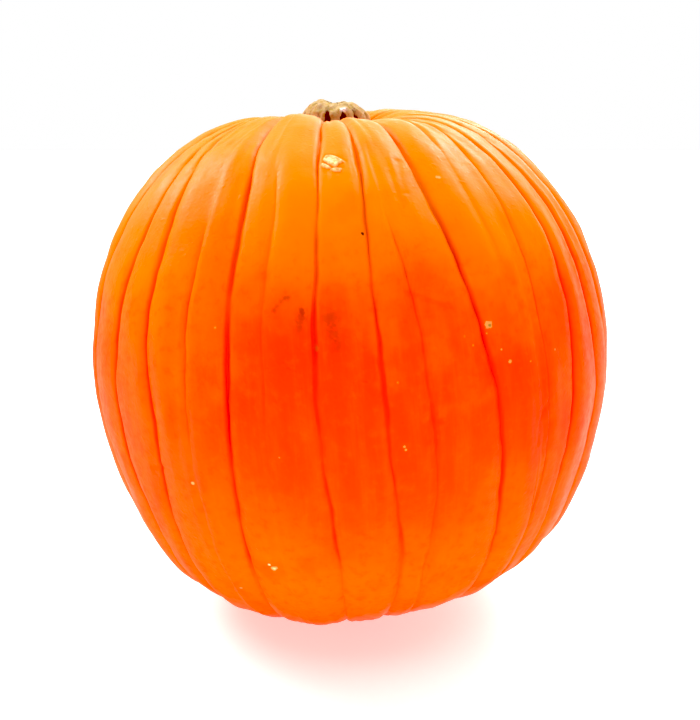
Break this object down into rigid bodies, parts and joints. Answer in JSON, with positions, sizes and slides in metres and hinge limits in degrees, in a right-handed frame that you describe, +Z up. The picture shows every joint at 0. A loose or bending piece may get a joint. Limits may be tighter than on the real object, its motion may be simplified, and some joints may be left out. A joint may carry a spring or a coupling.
{
  "type": "pumpkin",
  "caption": "Round ribbed pumpkin fruit with a short corky cut stem, which rests on a small flat spot.",
  "frame": {"origin": "on the ground under the middle of the fruit's bounding box", "axes": "+Z up from the flat spot to the stem, -Y the front of the fruit, +X its right side seen from the front"},
  "size_m": [0.2966, 0.3002, 0.2973],
  "materials": {
    "rind": "satin",
    "stem_cork": "matte"
  },
  "bodies": {
    "root": {"fruit": "rind", "stem": "stem_cork"}
  },
  "joints": []
}
